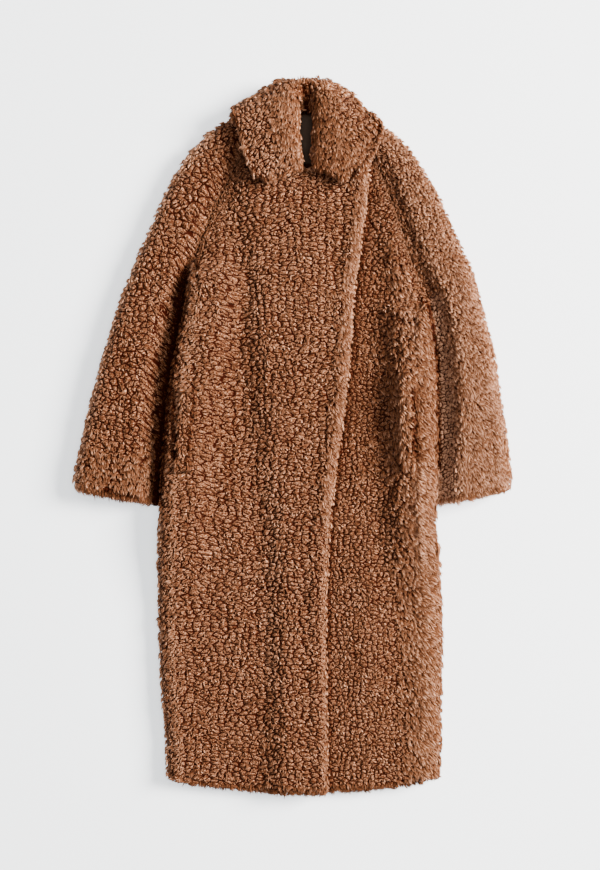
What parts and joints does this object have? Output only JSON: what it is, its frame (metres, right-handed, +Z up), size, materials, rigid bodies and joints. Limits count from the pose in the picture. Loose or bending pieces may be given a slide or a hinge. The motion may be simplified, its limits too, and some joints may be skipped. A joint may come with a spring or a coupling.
{
  "type": "faux fur coat",
  "caption": "Long raglan coat of curly teddy faux fur with a turned-down collar, overlapping fronts and side pockets, laid out flat on its back.",
  "frame": {"origin": "on the surface that the coat lies on, at the centre of its bounding box seen from above", "axes": "+Y from the hem to the collar, +Z up from the surface through the back and then the fronts, +X towards the wearer's left"},
  "size_m": [0.7418, 1.2124, 0.0773],
  "materials": {
    "pile": "curly brushed pile, soft and matt with a faint sheen on the curls",
    "lining": "smooth woven lining, satin"
  },
  "bodies": {
    "root": {"back": "pile", "front_right": "pile", "front_left": "pile", "sleeve_right": "pile", "sleeve_left": "pile", "collar": "pile", "pocket_welt_right": "pile", "pocket_welt_left": "pile", "neck_lining": "lining"}
  },
  "joints": []
}
